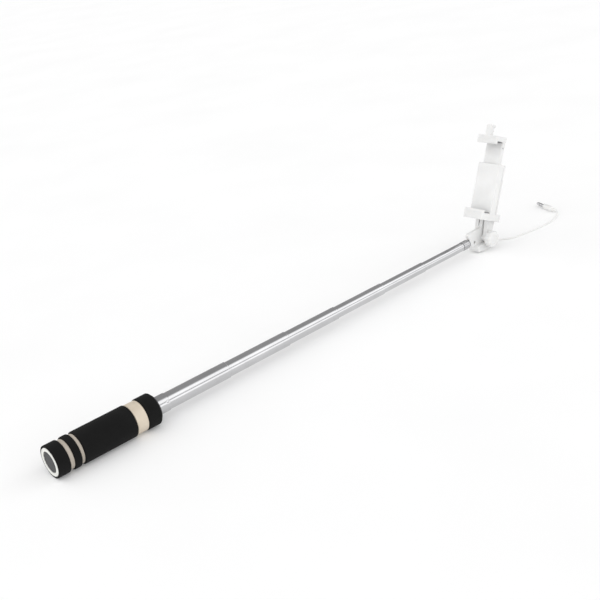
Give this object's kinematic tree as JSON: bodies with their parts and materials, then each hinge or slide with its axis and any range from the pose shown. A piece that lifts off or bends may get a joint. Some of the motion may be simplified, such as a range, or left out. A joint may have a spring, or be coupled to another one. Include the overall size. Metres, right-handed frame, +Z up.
{
  "type": "selfie stick",
  "caption": "Wired pocket selfie stick: foam handle, telescopic chrome rod, tilting white phone clamp with thumb knob, and a short lead with a headphone plug.",
  "frame": {"origin": "middle of the extent in plan, without the free lead, at the surface that the stick lies on", "axes": "+X along the rod from the handle to the head, +Z up with the clamp upright, +Y away from the knob"},
  "size_m": [0.6383, 0.0452, 0.1245],
  "materials": {
    "foam_black": "soft matte black foam sleeve with a fine grain",
    "cream_plastic": "satin cream plastic",
    "white_plastic": "white moulded plastic, half gloss",
    "grey_plastic": "matte dark grey plastic",
    "black_plastic": "matte black plastic",
    "chrome_tube": "bright chrome on thin drawn steel tube",
    "spring_sleeve": "plain spring brass",
    "steel": "plain plated steel",
    "circuit_board": "green circuit board",
    "pad_rubber": "soft grey pad",
    "white_cord": "soft white cord jacket",
    "lead_black": "black lead jacket"
  },
  "bodies": {
    "handle": {"handle_shell": "cream_plastic", "foam_ring_rear": "foam_black", "foam_ring_second": "foam_black", "foam_grip_main": "foam_black", "foam_ring_front": "foam_black", "spacer_ring_rear": "cream_plastic", "spacer_ring_front": "cream_plastic", "end_cap": "white_plastic", "end_disc": "grey_plastic", "front_bush": "black_plastic", "rear_bush": "black_plastic", "rod_tube_1": "chrome_tube", "switch_board": "circuit_board", "switch_housing": "black_plastic", "handle_lead": "lead_black", "inner_lead_2": "lead_black"},
    "button": {"shutter_button": "white_plastic", "switch_plunger": "grey_plastic"},
    "rod_2": {"rod_tube_2": "chrome_tube", "friction_sleeve_2": "spring_sleeve", "inner_lead_3": "lead_black"},
    "rod_3": {"rod_tube_3": "chrome_tube", "friction_sleeve_3": "spring_sleeve", "inner_lead_4": "lead_black"},
    "rod_4": {"rod_tube_4": "chrome_tube", "friction_sleeve_4": "spring_sleeve", "inner_lead_5": "lead_black"},
    "rod_5": {"rod_tube_5": "chrome_tube", "friction_sleeve_5": "spring_sleeve", "inner_lead_6": "lead_black"},
    "rod_6": {"rod_tube_6": "chrome_tube", "friction_sleeve_6": "spring_sleeve", "inner_lead_7": "lead_black"},
    "head": {"rod_tube_7": "chrome_tube", "friction_sleeve_7": "spring_sleeve", "rod_tip_fitting": "chrome_tube", "head_pin": "steel", "hinge_base": "white_plastic", "head_lead": "lead_black", "cord_gland": "white_cord", "cord": "white_cord", "plug_body": "white_cord", "plug_pin": "chrome_tube"},
    "clamp": {"clamp_body": "white_plastic", "clamp_rear_cover": "white_plastic", "cover_screw_1": "steel", "cover_screw_2": "steel", "cover_screw_3": "steel", "cover_screw_4": "steel", "lower_jaw_pad": "pad_rubber", "spring_pin_lower": "steel", "pivot_nut": "steel", "jaw_spring_left": "steel", "jaw_spring_right": "steel"},
    "knob": {"knob": "white_plastic", "pivot_stud": "steel"},
    "jaw": {"upper_jaw": "white_plastic", "upper_jaw_pad": "pad_rubber", "spring_pin_upper": "steel"}
  },
  "joints": [
    {"name": "slide_2", "type": "slide", "parent": "handle", "child": "rod_2", "axis": [1, 0, 0], "range_m": [-0.0615, 0], "deforming": ["inner_lead_2"]},
    {"name": "slide_3", "type": "slide", "parent": "rod_2", "child": "rod_3", "axis": [1, 0, 0], "range_m": [-0.066, 0], "deforming": ["inner_lead_3"]},
    {"name": "slide_4", "type": "slide", "parent": "rod_3", "child": "rod_4", "axis": [1, 0, 0], "range_m": [-0.059, 0], "deforming": ["inner_lead_4"]},
    {"name": "slide_5", "type": "slide", "parent": "rod_4", "child": "rod_5", "axis": [1, 0, 0], "range_m": [-0.06, 0], "deforming": ["inner_lead_5"]},
    {"name": "slide_6", "type": "slide", "parent": "rod_5", "child": "rod_6", "axis": [1, 0, 0], "range_m": [-0.0575, 0], "deforming": ["inner_lead_6"]},
    {"name": "slide_7", "type": "slide", "parent": "rod_6", "child": "head", "axis": [1, 0, 0], "range_m": [-0.0581, 0], "deforming": ["inner_lead_7"]},
    {"name": "shutter_press", "type": "slide", "parent": "handle", "child": "button", "axis": [0, -1, 0], "range_m": [0, 0.0005], "stiffness_N_per_m": 1500, "springref_m": -0.0003},
    {"name": "clamp_tilt", "type": "hinge", "parent": "head", "child": "clamp", "pos_m": [0.23555, 0.0011, 0.0126], "axis": [0, -1, 0], "range_deg": [-60, 35]},
    {"name": "knob_turn", "type": "hinge", "parent": "clamp", "child": "knob", "pos_m": [0.23555, 0.0011, 0.0126], "axis": [0, -1, 0], "range_deg": [0, 360]},
    {"name": "jaw_slide", "type": "slide", "parent": "clamp", "child": "jaw", "axis": [0.4051, 0, 0.9143], "range_m": [-0.015, 0.015], "deforming": ["jaw_spring_left", "jaw_spring_right"]}
  ]
}
